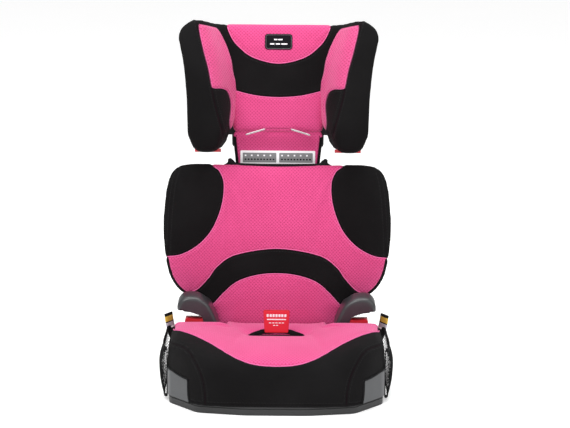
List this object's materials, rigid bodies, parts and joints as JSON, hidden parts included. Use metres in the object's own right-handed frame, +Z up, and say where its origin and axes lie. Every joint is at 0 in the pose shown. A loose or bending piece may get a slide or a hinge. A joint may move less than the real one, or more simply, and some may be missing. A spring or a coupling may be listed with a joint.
{
  "type": "booster seat",
  "caption": "High-back child booster seat with a padded winged backrest, a height-adjustable winged headrest, belt horns, red belt guides and net side pockets.",
  "frame": {"origin": "on the floor under the middle of the base", "axes": "+X to the seated child's left, which is to the right seen from the front; +Y to the rear; +Z up"},
  "size_m": [0.46, 0.5061, 0.7096],
  "materials": {
    "black_plastic": "fine moulded texture",
    "dark_grey_plastic": "satin moulded texture",
    "red_plastic": "smooth moulded",
    "link_plastic": "natural nylon",
    "rubber": "matt",
    "steel": "zinc plated",
    "foam": "open cell foam",
    "pink_mesh_fabric": "pink spacer mesh with black knit side panels",
    "black_net": "open net",
    "black_webbing": "ribbed woven webbing",
    "label_cloth": "printed woven label"
  },
  "bodies": {
    "base": {"base_shell": "black_plastic", "base_tray": "dark_grey_plastic", "rubber_feet": "rubber", "base_screws": "steel", "seat_foam": "foam", "seat_cover": "pink_mesh_fabric", "clip_bezel": "black_plastic", "clip_anchor_bar": "steel", "clip_anchor_strap": "black_webbing", "armrest_screws": "steel", "hinge_rod": "steel", "hinge_clips": "steel", "corner_trim_left": "dark_grey_plastic", "corner_trim_right": "dark_grey_plastic", "armrest_left": "dark_grey_plastic", "armrest_right": "dark_grey_plastic", "lap_belt_guide_left": "red_plastic", "lap_belt_guide_right": "red_plastic", "side_pocket_left": "black_net", "side_pocket_right": "black_net", "pocket_hem_left": "black_webbing", "pocket_hem_right": "black_webbing", "anchor_strap_left": "black_webbing", "anchor_strap_right": "black_webbing"},
    "clip": {"clip_strap": "black_webbing", "belt_clip": "red_plastic"},
    "backrest": {"backrest_shell": "black_plastic", "backrest_foam": "foam", "backrest_cover": "pink_mesh_fabric", "rear_cover": "black_plastic", "rear_cover_screws": "steel", "tether_anchor": "steel", "tether_strap": "black_webbing", "tether_adjuster": "steel", "tether_hook": "steel", "hinge_hook_left": "dark_grey_plastic", "hinge_hook_right": "dark_grey_plastic", "guide_rail_left": "black_plastic", "guide_rail_right": "black_plastic"},
    "headrest": {"headrest_shell": "black_plastic", "headrest_foam": "foam", "headrest_cover": "pink_mesh_fabric", "neck_pad": "pink_mesh_fabric", "carriage": "black_plastic", "headrest_rear_cover": "black_plastic", "label_patch": "label_cloth", "size_label": "label_cloth", "slot_trims": "label_cloth", "shoulder_guide_left": "red_plastic", "shoulder_guide_right": "red_plastic", "gate_pin_left": "steel", "gate_pin_right": "steel", "latch_spring_left": "steel", "latch_spring_right": "steel"},
    "handle": {"release_handle": "red_plastic", "release_link": "link_plastic"},
    "latch_left": {"latch_pin_left": "steel"},
    "latch_right": {"latch_pin_right": "steel"},
    "gate_left": {"guide_gate_left": "red_plastic"},
    "gate_right": {"guide_gate_right": "red_plastic"}
  },
  "joints": [
    {"name": "backrest_recline", "type": "hinge", "parent": "base", "child": "backrest", "pos_m": [0, 0.172, 0.04], "axis": [-1, 0, 0], "range_deg": [0, 20]},
    {"name": "headrest_height", "type": "slide", "parent": "backrest", "child": "headrest", "axis": [0, 0.1736, 0.9848], "range_m": [-0.02, 0.1]},
    {"name": "handle_pull", "type": "slide", "parent": "headrest", "child": "handle", "axis": [0, 0.1736, 0.9848], "range_m": [0, 0.008]},
    {"name": "latch_left_slide", "type": "slide", "parent": "headrest", "child": "latch_left", "axis": [-1, 0, 0], "range_m": [0, 0.006], "deforming": ["latch_spring_left"]},
    {"name": "latch_right_slide", "type": "slide", "parent": "headrest", "child": "latch_right", "axis": [1, 0, 0], "range_m": [0, 0.006], "deforming": ["latch_spring_right"]},
    {"name": "gate_left_swing", "type": "hinge", "parent": "headrest", "child": "gate_left", "pos_m": [0.1625, 0.18897, 0.43892], "axis": [0, -0.1736, -0.9848], "range_deg": [0, 30]},
    {"name": "gate_right_swing", "type": "hinge", "parent": "headrest", "child": "gate_right", "pos_m": [-0.1625, 0.18897, 0.43892], "axis": [0, 0.1736, 0.9848], "range_deg": [0, 30]},
    {"name": "clip_swing", "type": "hinge", "parent": "base", "child": "clip", "pos_m": [0, 0, 0.102], "axis": [1, 0, 0], "range_deg": [-45, 40]}
  ],
  "couplings": [
    {"joint": "latch_left_slide", "follows": "handle_pull", "ratio": 0.75},
    {"joint": "latch_right_slide", "follows": "handle_pull", "ratio": 0.75}
  ]
}
